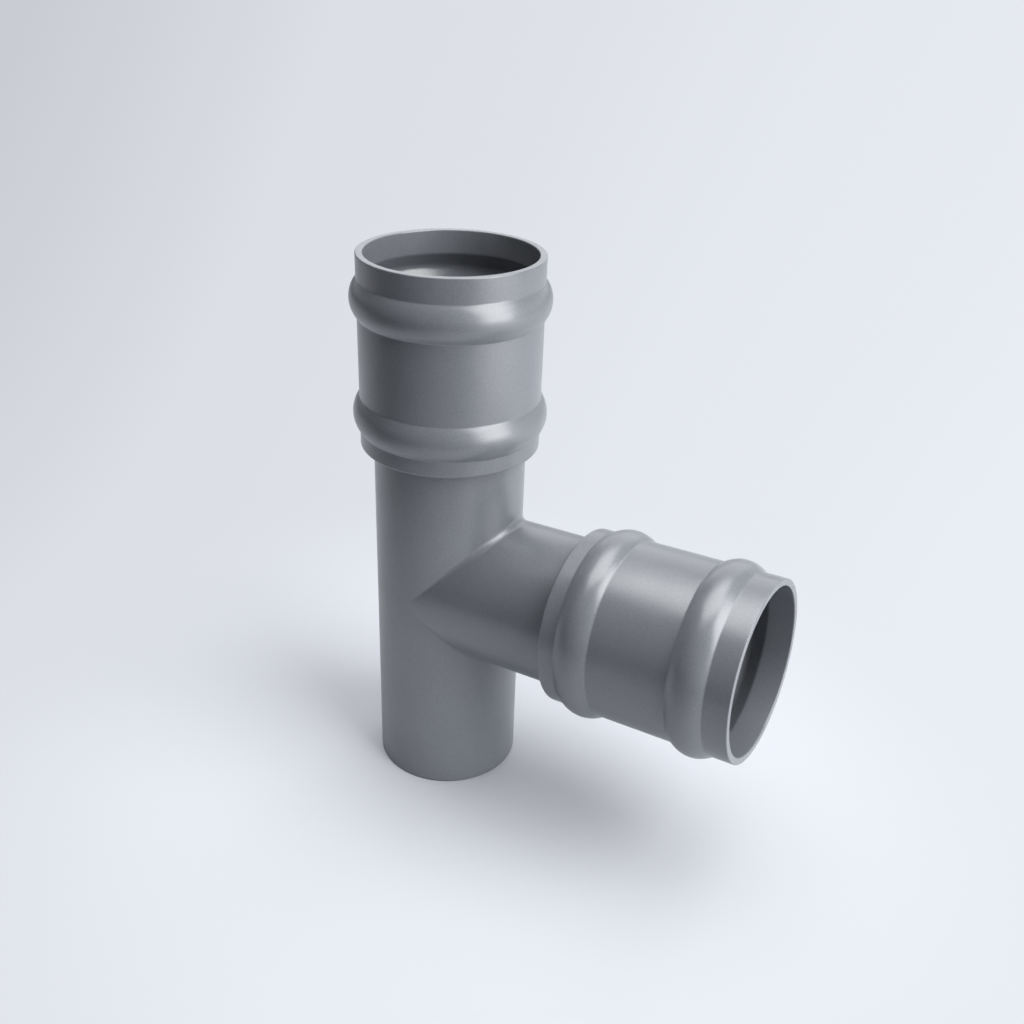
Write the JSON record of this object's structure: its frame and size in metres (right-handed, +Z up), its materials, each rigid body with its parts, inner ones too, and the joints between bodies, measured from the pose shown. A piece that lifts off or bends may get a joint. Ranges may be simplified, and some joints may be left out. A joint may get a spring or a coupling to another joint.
{
  "type": "downpipe branch",
  "caption": "One-piece grey plastic branch for a round rainwater downpipe: plain spigot below, double-beaded socket on top and on the side branch.",
  "frame": {"origin": "centre of the spigot's lower end, on the body's axis", "axes": "+Z up along the body towards the top socket, +X towards the side the branch leaves on; the branch rises 2.5 degrees from +X"},
  "size_m": [0.2373, 0.101, 0.3],
  "materials": {
    "grey_pvc": "satin moulded rigid PVC, mid grey through and through"
  },
  "bodies": {
    "root": {"branch_fitting": "grey_pvc"}
  },
  "joints": []
}
